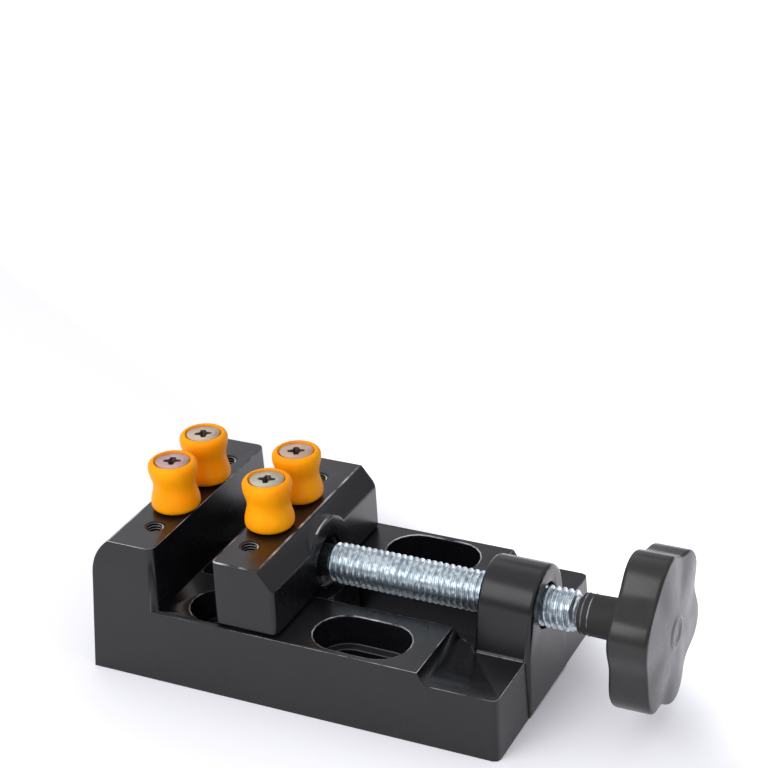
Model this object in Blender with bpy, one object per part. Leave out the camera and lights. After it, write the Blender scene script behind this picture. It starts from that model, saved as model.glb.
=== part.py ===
"""Small drill press vise: a cast base with a fixed jaw, a sliding jaw moved by a
lead screw with a lobed knob, and four screwed-on clamping pegs.

The frame: X runs from the fixed jaw to the knob, Y across the jaws, Z up. The
origin is on the underside of the base, below the middle of the fixed jaw.
"""

import math

import bmesh
import bpy
from mathutils import Matrix, Vector

MM = 0.001

# Running and seating gaps
SEAT_GAP = 0.3 * MM
SLIDE_GAP = 0.3 * MM

# Base casting
BASE_LENGTH = 102.3 * MM
BASE_WIDTH = 57.0 * MM
JAW_ABOVE_COLLAR = 0.4 * MM
FLOOR_TOP = 17.8 * MM
LEDGE_TOP = 15.0 * MM
LEDGE_LENGTH = 17.5 * MM
RISER_RUN = 1.5 * MM
FIXED_JAW_THICKNESS = 18.2 * MM
FIXED_JAW_FLAT = 11.8 * MM
BACK_ROUND_RADIUS = 11.7 * MM
BACK_LEAN = 0.063
SIDE_DRAFT = 0.05
END_FACE_LEAN = 0.4 * MM
CORNER_RADIUS = 1.4 * MM
INNER_CORNER_RADIUS = 2.0 * MM
EDGE_RADIUS = 0.5 * MM

# Lead screw boss at the end of the base
SCREW_HEIGHT = 23.0 * MM
BOSS_RADIUS = 9.4 * MM
BOSS_LENGTH = 13.3 * MM
BOSS_STANDS_OUT = 0.5 * MM
BOSS_FOOT_WIDTH = 22.6 * MM
BOSS_FOOT_FILLET = 0.7 * MM
BOSS_EDGE_ROUND = 0.9 * MM
NECK_POCKET_DEPTH = 6.5 * MM

# Guide slot for the sliding jaw and the channel below it for the keeper
GUIDE_SLOT_WIDTH = 15.6 * MM
GUIDE_SLOT_FROM_JAW = 0.2 * MM
GUIDE_SLOT_REACH_UNDER_BOSS = 1.7 * MM
GUIDE_SLOT_CORNER = 1.5 * MM
KEEPER_CHANNEL_WIDTH = 24.0 * MM
KEEPER_CHANNEL_DEPTH = 5.0 * MM
KEEPER_CHANNEL_PAST_SLOT = 1.2 * MM

# Mounting slots, two on each rail
MOUNT_SLOT_LENGTH = 22.9 * MM
MOUNT_SLOT_DEPTH = 7.4 * MM
MOUNT_SLOT_SHOULDER = 2.3 * MM
MOUNT_SLOT_OUTER_WALL = 2.45 * MM
MOUNT_SLOT_INNER_WALL = 4.35 * MM
MOUNT_SLOT_FROM_JAW = 16.5 * MM
MOUNT_SLOT_SPACING = 31.5 * MM
SLOT_LIP = 0.4 * MM

# Tapped holes along both jaws
JAW_HOLE_FROM_FACE = 5.0 * MM
INNER_HOLE_OFFSET = 7.2 * MM
OUTER_HOLE_OFFSET = 17.0 * MM
JAW_HOLE_SPARE_DEPTH = 3.6 * MM

# Sliding jaw
JAW_OPENING = 14.8 * MM
SLIDING_JAW_THICKNESS = 15.7 * MM
SLIDING_JAW_WIDTH = 53.4 * MM
SLIDING_JAW_DRAFT = 0.02
JAW_CHAMFER_LENGTH = 3.8 * MM
JAW_CHAMFER_DROP = 5.0 * MM
JAW_CORNER_RADIUS = 1.1 * MM
COLLAR_RADIUS = 10.6 * MM
COLLAR_RECESS_RADIUS = 6.2 * MM
COLLAR_RECESS_DEPTH = 1.4 * MM
TONGUE_REACH = 4.0 * MM
TONGUE_SET_BACK = 0.5 * MM

# Lead screw and its retaining groove
THREAD_DIAMETER = 9.5 * MM
SHANK_DIAMETER = 7.6 * MM
SHANK_DEPTH_IN_JAW = 9.6 * MM
THREAD_START_CLEAR = 1.2 * MM
THREAD_LENGTH = 60.7 * MM
GROOVE_DIAMETER = 5.8 * MM
GROOVE_WIDTH = 3.6 * MM
GROOVE_DEPTH_IN_JAW = 5.6 * MM
TAIL_DIAMETER = 7.0 * MM
TAIL_LENGTH = 15.5 * MM

# Knob
NECK_DIAMETER = 9.2 * MM
NECK_DRAFT = 0.025
NECK_LENGTH = 11.6 * MM
KNOB_DIAMETER = 37.5 * MM
KNOB_THICKNESS = 9.9 * MM
KNOB_LOBES = 6
KNOB_TURN = math.radians(-7.6)
KNOB_NOTCH_DEPTH = 2.35 * MM
KNOB_NOTCH_NARROWNESS = 1.2
KNOB_EDGE_ROUND = 1.2 * MM
KNOB_BACK_ROUND = 0.7 * MM
KNOB_DOME = 1.6 * MM

# Keeper plate under the tongue
KEEPER_THICKNESS = 2.0 * MM
KEEPER_SIDE_CLEARANCE = 0.5 * MM
KEEPER_SCREW_FIRST = 4.0 * MM
KEEPER_SCREW_SPACING = 12.0 * MM
KEEPER_SCREW_LENGTH = 9.0 * MM

# Countersunk screws, the same thread everywhere
FASTENER_DIAMETER = 4.0 * MM
FASTENER_HEAD_DIAMETER = 7.9 * MM
FASTENER_HEAD_HEIGHT = 2.1 * MM
FASTENER_HEAD_RIM = 0.35 * MM
PEG_SCREW_LENGTH = 20.0 * MM
PEG_SCREW_SINK = 0.2 * MM
RETAINING_SCREW_SUNK = 1.2 * MM
RETAINING_POINT_DIAMETER = 2.6 * MM
RETAINING_POINT_LENGTH = 2.6 * MM

# Clamping pegs
PEG_DIAMETER = 11.5 * MM
PEG_WAIST_DIAMETER = 9.9 * MM
PEG_HEIGHT = 12.0 * MM
PEG_ROLL_HEIGHT = 1.6 * MM
PEG_EDGE_ROUND = 1.3 * MM

# Facets of round shapes, and how far a cutter runs past what it cuts
BOSS_STEPS = 40
BACK_ROUND_STEPS = 8
BORE_STEPS = 30
SLOT_END_STEPS = 10
SLOT_CORNER_STEPS = 4
SMALL_STEPS = 18
PEG_STEPS = 22
PEG_SIDE_STEPS = 11
KNOB_STEPS_PER_LOBE = 8
KNOB_EDGE_STEPS = 3
KNOB_DOME_RINGS = (0.85, 0.6, 0.3, 0.05)
INNER_CORNER_STEPS = 4
FILLET_STEPS = 3
EDGE_SEGMENTS = 2
FLAT_BELOW = math.radians(0.3)
SMOOTH_BELOW = math.radians(32)
CORNER_ABOVE = math.radians(28)
OVERCUT = 0.5 * MM

# Sizes and places that follow from the sizes above
JAW_TOP = SCREW_HEIGHT + COLLAR_RADIUS + JAW_ABOVE_COLLAR
RAIL_WIDTH = (BASE_WIDTH - GUIDE_SLOT_WIDTH) / 2
MOUNT_SLOT_WIDTH = RAIL_WIDTH - MOUNT_SLOT_OUTER_WALL - MOUNT_SLOT_INNER_WALL
MOUNT_SLOT_OFFSET = GUIDE_SLOT_WIDTH / 2 + MOUNT_SLOT_INNER_WALL + MOUNT_SLOT_WIDTH / 2
JAW_BACK_X = -FIXED_JAW_THICKNESS / 2
JAW_FACE_X = FIXED_JAW_THICKNESS / 2
BASE_END_X = JAW_BACK_X + BASE_LENGTH
BOSS_END_X = BASE_END_X + BOSS_STANDS_OUT
SLIDING_FACE_X = JAW_FACE_X + JAW_OPENING
SLIDING_BACK_X = SLIDING_FACE_X + SLIDING_JAW_THICKNESS
BOSS_INNER_X = BOSS_END_X - BOSS_LENGTH
GUIDE_SLOT_END_X = BOSS_INNER_X + GUIDE_SLOT_REACH_UNDER_BOSS
TONGUE_END_X = SLIDING_BACK_X + TONGUE_REACH
THREAD_START_X = SLIDING_BACK_X + THREAD_START_CLEAR
THREAD_END_X = THREAD_START_X + THREAD_LENGTH
NECK_START_X = THREAD_END_X + SEAT_GAP
KNOB_BACK_X = NECK_START_X + NECK_LENGTH
FASTENER_HOLE_RADIUS = FASTENER_DIAMETER / 2 + SEAT_GAP
PEG_BOTTOM = JAW_TOP + SEAT_GAP
PEG_TOP = PEG_BOTTOM + PEG_HEIGHT
PEG_SCREW_FACE = PEG_TOP - PEG_SCREW_SINK
JAW_HOLE_END = PEG_SCREW_FACE - PEG_SCREW_LENGTH - JAW_HOLE_SPARE_DEPTH
HOLE_OFFSETS = (-OUTER_HOLE_OFFSET, -INNER_HOLE_OFFSET, INNER_HOLE_OFFSET, OUTER_HOLE_OFFSET)
PEG_OFFSETS = {"near": -INNER_HOLE_OFFSET, "far": INNER_HOLE_OFFSET}


def clear_scene():
    for item in list(bpy.data.objects):
        bpy.data.objects.remove(item, do_unlink=True)


def linear(channel):
    value = channel / 255
    return value / 12.92 if value <= 0.04045 else ((value + 0.055) / 1.055) ** 2.4


def make_material(name, red, green, blue, roughness, metallic):
    material = bpy.data.materials.new(name)
    material.use_nodes = True
    shader = material.node_tree.nodes["Principled BSDF"]
    shader.inputs["Base Color"].default_value = (linear(red), linear(green), linear(blue), 1)
    shader.inputs["Roughness"].default_value = roughness
    shader.inputs["Metallic"].default_value = metallic
    return material


def new_object(name, bm):
    bmesh.ops.recalc_face_normals(bm, faces=bm.faces)
    mesh = bpy.data.meshes.new(name)
    bm.to_mesh(mesh)
    bm.free()
    item = bpy.data.objects.new(name, mesh)
    bpy.context.scene.collection.objects.link(item)
    return item


def world_place(item):
    bpy.context.view_layer.update()
    return item.matrix_world.translation.copy()


def finish(item, material, parent=None, origin=(0, 0, 0)):
    """Give a piece its material and smooth shading, with its origin at a world point."""
    mesh = item.data
    mesh.materials.clear()
    mesh.materials.append(material)
    mesh.shade_smooth()
    mesh.set_sharp_from_angle(angle=SMOOTH_BELOW)
    origin = Vector(origin)
    mesh.transform(Matrix.Translation(-origin))
    item.location = origin
    if parent:
        item.parent = parent
        item.location = origin - world_place(parent)
    return item


def empty_at(name, x, y, z, parent=None):
    item = bpy.data.objects.new(name, None)
    bpy.context.scene.collection.objects.link(item)
    item.location = (x, y, z)
    if parent:
        item.parent = parent
        item.location = Vector((x, y, z)) - world_place(parent)
    return item


def combine(target, tool, operation):
    """Join or cut a piece with another one, which is used up."""
    modifier = target.modifiers.new("combine", "BOOLEAN")
    modifier.operation = operation
    modifier.solver = "EXACT"
    modifier.object = tool
    graph = bpy.context.evaluated_depsgraph_get()
    mesh = bpy.data.meshes.new_from_object(target.evaluated_get(graph))
    target.modifiers.clear()
    target.data = mesh
    bpy.data.objects.remove(tool, do_unlink=True)


def cut(target, bm):
    combine(target, new_object("cutter", bm), "DIFFERENCE")


def join(target, bm):
    combine(target, new_object("addition", bm), "UNION")


def prism(points, direction):
    """A flat closed outline pushed along a direction."""
    bm = bmesh.new()
    face = bm.faces.new([bm.verts.new(point) for point in points])
    pushed = bmesh.ops.extrude_face_region(bm, geom=[face])
    moved = [item for item in pushed["geom"] if isinstance(item, bmesh.types.BMVert)]
    bmesh.ops.translate(bm, verts=moved, vec=direction)
    bmesh.ops.recalc_face_normals(bm, faces=bm.faces)
    return bm


def round_edges(bm, radius, wanted):
    edges = [edge for edge in bm.edges if wanted(edge)]
    bmesh.ops.bevel(
        bm, geom=edges, offset=radius, offset_type="OFFSET", affect="EDGES",
        segments=EDGE_SEGMENTS, profile=0.5, material=-1, clamp_overlap=True,
    )


def is_outer_corner(edge):
    return edge.is_convex and edge.calc_face_angle(0) > CORNER_ABOVE


def is_rim(edge):
    """An edge round one end of a prism that runs along X."""
    return abs(edge.verts[0].co.x - edge.verts[1].co.x) < EDGE_RADIUS / 10


def is_upright(edge):
    along = (edge.verts[1].co - edge.verts[0].co).normalized()
    return abs(along.z) > 0.95


def turned(profile, steps, along="X", closed=False):
    """Spin a profile of (place along the axis, radius) points round X or Z."""
    bm = bmesh.new()
    if along == "X":
        verts = [bm.verts.new((place, 0, radius)) for place, radius in profile]
        axis = (1, 0, 0)
    else:
        verts = [bm.verts.new((radius, 0, place)) for place, radius in profile]
        axis = (0, 0, 1)
    edges = [bm.edges.new(pair) for pair in zip(verts, verts[1:])]
    if closed:
        edges.append(bm.edges.new((verts[-1], verts[0])))
    bmesh.ops.spin(
        bm, geom=verts + edges, cent=(0, 0, 0), axis=axis, angle=math.tau,
        steps=steps, use_merge=True, use_duplicate=False,
    )
    bmesh.ops.remove_doubles(bm, verts=bm.verts, dist=0.001 * MM)
    bmesh.ops.recalc_face_normals(bm, faces=bm.faces)
    return bm


def shifted(bm, x=0.0, y=0.0, z=0.0):
    bmesh.ops.translate(bm, verts=bm.verts, vec=(x, y, z))
    return bm


def stack(rings):
    """A closed solid skinned over rings of points that all have the same count."""
    bm = bmesh.new()
    loops = [[bm.verts.new(point) for point in ring] for ring in rings]
    count = len(loops[0])
    for lower, upper in zip(loops, loops[1:]):
        for step in range(count):
            after = (step + 1) % count
            bm.faces.new((lower[step], lower[after], upper[after], upper[step]))
    bm.faces.new(loops[0])
    bm.faces.new(loops[-1])
    bmesh.ops.recalc_face_normals(bm, faces=bm.faces)
    return bm


def arc(centre_a, centre_b, radius, start, end, steps):
    """Points on an arc in a plane, from one angle to another in degrees."""
    points = []
    for step in range(steps + 1):
        angle = math.radians(start + (end - start) * step / steps)
        points.append((centre_a + radius * math.cos(angle), centre_b + radius * math.sin(angle)))
    return points


def rounded_bar(x_low, x_high, width, corner):
    """Outline of a bar along the middle, seen from above, with rounded corners."""
    side = width / 2 - corner
    x_low += corner
    x_high -= corner
    points = arc(x_high, -side, corner, -90, 0, SLOT_CORNER_STEPS)
    points += arc(x_high, side, corner, 0, 90, SLOT_CORNER_STEPS)
    points += arc(x_low, side, corner, 90, 180, SLOT_CORNER_STEPS)
    points += arc(x_low, -side, corner, 180, 270, SLOT_CORNER_STEPS)
    return points


def long_hole(x_low, x_high, y_middle, width):
    """Outline of a slot with half-round ends, seen from above."""
    radius = width / 2
    points = arc(x_high - radius, y_middle, radius, -90, 90, SLOT_END_STEPS)
    return points + arc(x_low + radius, y_middle, radius, 90, 270, SLOT_END_STEPS)


def lipped_levels(top):
    """Heights and widenings that give a cutter a rounded mouth at a top face."""
    diagonal = SLOT_LIP * (1 - math.sqrt(0.5))
    slope = (SLOT_LIP - diagonal) / diagonal
    return (
        (top - SLOT_LIP, 0.0),
        (top - diagonal, diagonal),
        (top + OVERCUT, SLOT_LIP + OVERCUT * slope),
    )


def at_height(outline, z):
    return [(x, y, z) for x, y in outline]


def back_round():
    """The arc from the flat top of the fixed jaw down to its leaning back face."""
    upward = Vector((BACK_LEAN, 1)).normalized()
    outward = Vector((-upward.y, upward.x))
    top = Vector((JAW_FACE_X - FIXED_JAW_FLAT, JAW_TOP))
    beside = Vector((JAW_BACK_X, 0)) - BACK_ROUND_RADIUS * outward
    offset = beside - top
    along = offset.dot(upward)
    reach = math.sqrt(along ** 2 - offset.length_squared + BACK_ROUND_RADIUS ** 2)
    centre = beside - (along + reach) * upward
    start = math.degrees(math.atan2(top.y - centre.y, top.x - centre.x))
    end = math.degrees(math.atan2(outward.y, outward.x))
    return arc(centre.x, centre.y, BACK_ROUND_RADIUS, start, end, BACK_ROUND_STEPS)


def base_side(jaw_face_x):
    """Side view of the base, with the fixed jaw's inner face at a given place."""
    ledge_x = BASE_END_X - LEDGE_LENGTH
    outline = [
        (JAW_BACK_X, 0),
        (BASE_END_X, 0),
        (BASE_END_X - END_FACE_LEAN, LEDGE_TOP),
        (ledge_x, LEDGE_TOP),
        (ledge_x - RISER_RUN, FLOOR_TOP),
        (jaw_face_x, FLOOR_TOP),
        (jaw_face_x, JAW_TOP),
    ]
    return outline + back_round()


def base_block():
    """The casting's outside, whose fixed jaw is rounded off at both ends of its face."""
    half = BASE_WIDTH / 2
    corner = arc(
        JAW_FACE_X - INNER_CORNER_RADIUS, half - INNER_CORNER_RADIUS, INNER_CORNER_RADIUS,
        90, 0, INNER_CORNER_STEPS,
    )
    rings = []
    for face_x, y in corner + [(x, -y) for x, y in reversed(corner)]:
        ring = []
        for x, z in base_side(face_x):
            ring.append((x, y * (1 - SIDE_DRAFT * z / half), z))
        rings.append(ring)
    bm = stack(rings)
    bmesh.ops.dissolve_limit(bm, angle_limit=FLAT_BELOW, verts=bm.verts, edges=bm.edges)
    end_x = BASE_END_X - 2 * END_FACE_LEAN

    def is_end_corner(edge):
        at_end = min(vert.co.x for vert in edge.verts) > end_x
        return at_end and is_upright(edge) and is_outer_corner(edge)

    round_edges(bm, CORNER_RADIUS, is_end_corner)
    round_edges(bm, EDGE_RADIUS, is_outer_corner)
    return new_object("base", bm)


def boss_touch():
    """Angle at which the boss's straight sides, which rise from its feet, meet its round."""
    foot = BOSS_FOOT_WIDTH / 2
    rise = SCREW_HEIGHT - LEDGE_TOP
    return math.acos(BOSS_RADIUS / math.hypot(foot, rise)) - math.atan2(rise, foot)


def boss():
    foot = BOSS_FOOT_WIDTH / 2
    touch = math.degrees(boss_touch())
    outline = [(foot, 0), (foot, LEDGE_TOP)]
    outline += arc(0, SCREW_HEIGHT, BOSS_RADIUS, touch, 180 - touch, BOSS_STEPS // 2)
    outline += [(-foot, LEDGE_TOP), (-foot, 0)]
    bm = prism([(BOSS_INNER_X, y, z) for y, z in outline], (BOSS_LENGTH, 0, 0))
    round_edges(bm, BOSS_EDGE_ROUND, is_rim)
    return bm


def boss_foot_fillet(side):
    """The fillet along one foot of the boss, as far as the edge at the end of the ledge."""
    touch = boss_touch()
    foot = BOSS_FOOT_WIDTH / 2
    low = LEDGE_TOP - BOSS_FOOT_FILLET
    inside = foot - 2 * BOSS_FOOT_FILLET
    bend = math.pi / 2 - touch
    reach = BOSS_FOOT_FILLET * math.tan(bend / 2)
    centre = (foot + reach, LEDGE_TOP + BOSS_FOOT_FILLET)
    outline = [(inside, low), (foot + reach, low)]
    outline += arc(*centre, BOSS_FOOT_FILLET, 270, 180 + math.degrees(touch), FILLET_STEPS)
    outline += [(inside, centre[1])]
    start_x = BOSS_INNER_X + BOSS_EDGE_ROUND
    end_x = BASE_END_X - END_FACE_LEAN - EDGE_RADIUS
    return prism([(start_x, side * y, z) for y, z in outline], (end_x - start_x, 0, 0))


def mount_slot(x_middle, y_middle):
    x_low = x_middle - MOUNT_SLOT_LENGTH / 2
    x_high = x_middle + MOUNT_SLOT_LENGTH / 2
    shoulder = FLOOR_TOP - MOUNT_SLOT_DEPTH

    def outline(widening, z):
        grown = MOUNT_SLOT_WIDTH + 2 * widening
        return at_height(long_hole(x_low - widening, x_high + widening, y_middle, grown), z)

    seat_edge = SLOT_LIP - MOUNT_SLOT_SHOULDER
    rings = [
        outline(seat_edge + OVERCUT, -OVERCUT),
        outline(-MOUNT_SLOT_SHOULDER, SLOT_LIP),
        outline(-MOUNT_SLOT_SHOULDER, shoulder - SLOT_LIP),
        outline(seat_edge, shoulder),
        outline(-SLOT_LIP, shoulder),
        outline(0, shoulder + SLOT_LIP),
    ]
    rings += [outline(widening, z) for z, widening in lipped_levels(FLOOR_TOP)]
    return stack(rings)


def guide_slot():
    def outline(widening, z):
        width = GUIDE_SLOT_WIDTH + 2 * widening
        start_x = JAW_FACE_X + GUIDE_SLOT_FROM_JAW
        return at_height(rounded_bar(start_x, GUIDE_SLOT_END_X, width, GUIDE_SLOT_CORNER), z)

    return stack([outline(0, -OVERCUT)] + [outline(w, z) for z, w in lipped_levels(FLOOR_TOP)])


def keeper_channel():
    start_x = JAW_FACE_X - KEEPER_CHANNEL_PAST_SLOT
    end_x = GUIDE_SLOT_END_X + KEEPER_CHANNEL_PAST_SLOT
    outline = rounded_bar(start_x, end_x, KEEPER_CHANNEL_WIDTH, GUIDE_SLOT_CORNER)
    return stack([at_height(outline, -OVERCUT), at_height(outline, KEEPER_CHANNEL_DEPTH)])


def tapped_hole(x, y):
    radius = FASTENER_HOLE_RADIUS
    mouth = radius + SLOT_LIP / 2 + OVERCUT
    profile = [
        (JAW_HOLE_END, 0),
        (JAW_HOLE_END, radius),
        (JAW_TOP - SLOT_LIP / 2, radius),
        (JAW_TOP + OVERCUT, mouth),
        (JAW_TOP + OVERCUT, 0),
    ]
    return shifted(turned(profile, SMALL_STEPS, along="Z"), x, y)


def boss_bore():
    thread = THREAD_DIAMETER / 2 + SLIDE_GAP
    pocket = NECK_DIAMETER / 2 + 2 * SLIDE_GAP
    pocket_x = BOSS_END_X - NECK_POCKET_DEPTH
    profile = [
        (BOSS_INNER_X - OVERCUT, 0),
        (BOSS_INNER_X - OVERCUT, thread + SLOT_LIP + OVERCUT),
        (BOSS_INNER_X + SLOT_LIP, thread),
        (pocket_x, thread),
        (pocket_x + SLOT_LIP, pocket),
        (BOSS_END_X - SLOT_LIP, pocket),
        (BOSS_END_X + OVERCUT, pocket + SLOT_LIP + OVERCUT),
        (BOSS_END_X + OVERCUT, 0),
    ]
    return shifted(turned(profile, BORE_STEPS), z=SCREW_HEIGHT)


def make_base(material):
    base = base_block()
    join(base, boss())
    for side in (-1, 1):
        join(base, boss_foot_fillet(side))
    cut(base, guide_slot())
    cut(base, keeper_channel())
    for step in range(2):
        for side in (-1, 1):
            x = JAW_FACE_X + MOUNT_SLOT_FROM_JAW + step * MOUNT_SLOT_SPACING
            cut(base, mount_slot(x, side * MOUNT_SLOT_OFFSET))
    for y in HOLE_OFFSETS:
        cut(base, tapped_hole(JAW_FACE_X - JAW_HOLE_FROM_FACE, y))
    cut(base, boss_bore())
    return finish(base, material)


def sliding_jaw_block():
    bottom = FLOOR_TOP + SLIDE_GAP
    outline = [
        (SLIDING_FACE_X, bottom),
        (SLIDING_FACE_X, JAW_TOP),
        (SLIDING_BACK_X - JAW_CHAMFER_LENGTH, JAW_TOP),
        (SLIDING_BACK_X, JAW_TOP - JAW_CHAMFER_DROP),
        (SLIDING_BACK_X, bottom),
    ]
    half = SLIDING_JAW_WIDTH / 2
    bm = prism([(x, -half, z) for x, z in outline], (0, SLIDING_JAW_WIDTH, 0))
    for vert in bm.verts:
        vert.co.y *= 1 - SLIDING_JAW_DRAFT * (vert.co.z - bottom) / half
    round_edges(bm, JAW_CORNER_RADIUS, is_upright)
    round_edges(bm, EDGE_RADIUS, is_outer_corner)
    return new_object("moving_jaw", bm)


def collar():
    """The half-round collar that stands out of the jaw's chamfer, above the screw."""
    start_x = SLIDING_FACE_X + JAW_HOLE_FROM_FACE
    outline = arc(0, SCREW_HEIGHT, COLLAR_RADIUS, 0, 180, BOSS_STEPS // 2)
    bm = prism([(start_x, y, z) for y, z in outline], (SLIDING_BACK_X - start_x, 0, 0))

    def is_front_rim(edge):
        on_front = all(vert.co.x > SLIDING_BACK_X - EDGE_RADIUS / 10 for vert in edge.verts)
        return on_front and any(vert.co.z > SCREW_HEIGHT + EDGE_RADIUS for vert in edge.verts)

    round_edges(bm, EDGE_RADIUS, is_front_rim)
    return bm


def tongue():
    width = GUIDE_SLOT_WIDTH - 2 * SLIDE_GAP
    start_x = SLIDING_FACE_X + TONGUE_SET_BACK
    outline = rounded_bar(start_x, TONGUE_END_X, width, GUIDE_SLOT_CORNER + SLIDE_GAP)
    top = FLOOR_TOP - TONGUE_SET_BACK
    return stack([at_height(outline, KEEPER_CHANNEL_DEPTH), at_height(outline, top)])


def tongue_root():
    """The part of the tongue that runs on up into the jaw."""
    inset = EDGE_RADIUS + TONGUE_SET_BACK
    width = GUIDE_SLOT_WIDTH - 2 * SLIDE_GAP - inset
    start_x = SLIDING_FACE_X + TONGUE_SET_BACK + inset
    outline = rounded_bar(start_x, SLIDING_BACK_X - inset, width, GUIDE_SLOT_CORNER)
    low = FLOOR_TOP - 2 * TONGUE_SET_BACK
    return stack([at_height(outline, low), at_height(outline, FLOOR_TOP + 2 * EDGE_RADIUS)])


def screw_socket():
    bore = SHANK_DIAMETER / 2 + SLIDE_GAP
    end_x = SLIDING_BACK_X - SHANK_DEPTH_IN_JAW - SEAT_GAP
    recess_x = SLIDING_BACK_X - COLLAR_RECESS_DEPTH
    profile = [
        (end_x, 0),
        (end_x, bore),
        (recess_x, bore),
        (recess_x, COLLAR_RECESS_RADIUS),
        (SLIDING_BACK_X - SLOT_LIP / 2, COLLAR_RECESS_RADIUS),
        (SLIDING_BACK_X + OVERCUT, COLLAR_RECESS_RADIUS + SLOT_LIP / 2 + OVERCUT),
        (SLIDING_BACK_X + OVERCUT, 0),
    ]
    return shifted(turned(profile, BORE_STEPS), z=SCREW_HEIGHT)


def hole_from_below(x, top):
    low = KEEPER_CHANNEL_DEPTH - OVERCUT
    profile = [(low, 0), (low, FASTENER_HOLE_RADIUS), (top, FASTENER_HOLE_RADIUS), (top, 0)]
    return shifted(turned(profile, SMALL_STEPS, along="Z"), x)


def keeper_screw_places():
    first = SLIDING_FACE_X + KEEPER_SCREW_FIRST
    return {"front": first, "rear": first + KEEPER_SCREW_SPACING}


def make_moving_jaw(material, parent):
    jaw = sliding_jaw_block()
    join(jaw, collar())
    join(jaw, tongue_root())
    join(jaw, tongue())
    cut(jaw, screw_socket())
    for y in HOLE_OFFSETS:
        cut(jaw, tapped_hole(SLIDING_FACE_X + JAW_HOLE_FROM_FACE, y))
    for x in keeper_screw_places().values():
        cut(jaw, hole_from_below(x, KEEPER_CHANNEL_DEPTH + KEEPER_SCREW_LENGTH))
    cut(jaw, hole_from_below(SLIDING_BACK_X - GROOVE_DEPTH_IN_JAW, SCREW_HEIGHT))
    return finish(jaw, material, parent, world_place(parent))


def make_lead_screw(material, parent, axis_point):
    thread = THREAD_DIAMETER / 2
    shank = SHANK_DIAMETER / 2
    groove = GROOVE_DIAMETER / 2
    tail = TAIL_DIAMETER / 2
    chamfer = thread - shank
    tip_x = SLIDING_BACK_X - SHANK_DEPTH_IN_JAW
    groove_x = SLIDING_BACK_X - GROOVE_DEPTH_IN_JAW
    profile = [
        (tip_x, 0),
        (tip_x, shank - SLOT_LIP),
        (tip_x + SLOT_LIP, shank),
        (groove_x - GROOVE_WIDTH / 2, shank),
        (groove_x - GROOVE_WIDTH / 2, groove),
        (groove_x + GROOVE_WIDTH / 2, groove),
        (groove_x + GROOVE_WIDTH / 2, shank),
        (THREAD_START_X, shank),
        (THREAD_START_X + chamfer, thread),
        (THREAD_END_X, thread),
        (THREAD_END_X, tail),
        (THREAD_END_X + TAIL_LENGTH, tail),
        (THREAD_END_X + TAIL_LENGTH, 0),
    ]
    screw = new_object("lead_screw", shifted(turned(profile, BOSS_STEPS), z=SCREW_HEIGHT))
    return finish(screw, material, parent, axis_point)


def lobe_radius(angle):
    """Broad lobes with narrower hollows between them."""
    hollow = (1 - math.cos(KNOB_LOBES * angle)) / 2
    return KNOB_DIAMETER / 2 - KNOB_NOTCH_DEPTH * hollow ** KNOB_NOTCH_NARROWNESS


def knob_ring(x, size, roundness):
    """A ring whose outline goes from a circle, at 0, to the full lobes, at 1."""
    steps = KNOB_LOBES * KNOB_STEPS_PER_LOBE
    ring = []
    for step in range(steps):
        from_lobe = math.tau * step / steps
        angle = from_lobe + KNOB_TURN
        lobed = lobe_radius(from_lobe) / (KNOB_DIAMETER / 2)
        radius = size * (1 + (lobed - 1) * roundness)
        ring.append((x, radius * math.sin(angle), SCREW_HEIGHT + radius * math.cos(angle)))
    return ring


def make_knob(material, parent, axis_point):
    socket = TAIL_DIAMETER / 2 + SEAT_GAP
    neck = NECK_DIAMETER / 2
    neck_root = neck + NECK_DRAFT * NECK_LENGTH
    outer = KNOB_DIAMETER / 2
    front_x = KNOB_BACK_X + KNOB_THICKNESS
    wall_end_x = front_x - KNOB_DOME - KNOB_EDGE_ROUND
    socket_end_x = THREAD_END_X + TAIL_LENGTH + SEAT_GAP
    rings = [
        knob_ring(socket_end_x, socket, 0),
        knob_ring(NECK_START_X, socket, 0),
        knob_ring(NECK_START_X, neck - SLOT_LIP, 0),
        knob_ring(NECK_START_X + SLOT_LIP, neck, 0),
        knob_ring(KNOB_BACK_X - KNOB_BACK_ROUND, neck_root, 0),
        knob_ring(KNOB_BACK_X, neck_root + KNOB_BACK_ROUND, 0),
        knob_ring(KNOB_BACK_X, outer - KNOB_BACK_ROUND, 1),
        knob_ring(KNOB_BACK_X + KNOB_BACK_ROUND, outer, 1),
        knob_ring(wall_end_x, outer, 1),
    ]
    for step in range(1, KNOB_EDGE_STEPS + 1):
        turn = math.pi / 2 * step / KNOB_EDGE_STEPS
        x = wall_end_x + KNOB_EDGE_ROUND * math.sin(turn)
        rings.append(knob_ring(x, outer - KNOB_EDGE_ROUND * (1 - math.cos(turn)), 1))
    flat = outer - KNOB_EDGE_ROUND
    for share in KNOB_DOME_RINGS:
        height = front_x - KNOB_DOME * share ** 2
        rings.append(knob_ring(height, flat * share, share))
    knob = new_object("knob", stack(rings))
    return finish(knob, material, parent, axis_point)


def make_keeper_plate(material, parent):
    width = KEEPER_CHANNEL_WIDTH - 2 * KEEPER_SIDE_CLEARANCE
    outline = rounded_bar(SLIDING_FACE_X + TONGUE_SET_BACK, TONGUE_END_X, width, GUIDE_SLOT_CORNER)
    top = KEEPER_CHANNEL_DEPTH - SLIDE_GAP
    low = top - KEEPER_THICKNESS
    plate = new_object("keeper_plate", stack([at_height(outline, low), at_height(outline, top)]))
    for x in keeper_screw_places().values():
        cut(plate, shifted(countersink_from_below(low, top), x))
    return finish(plate, material, parent, world_place(parent))


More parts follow.
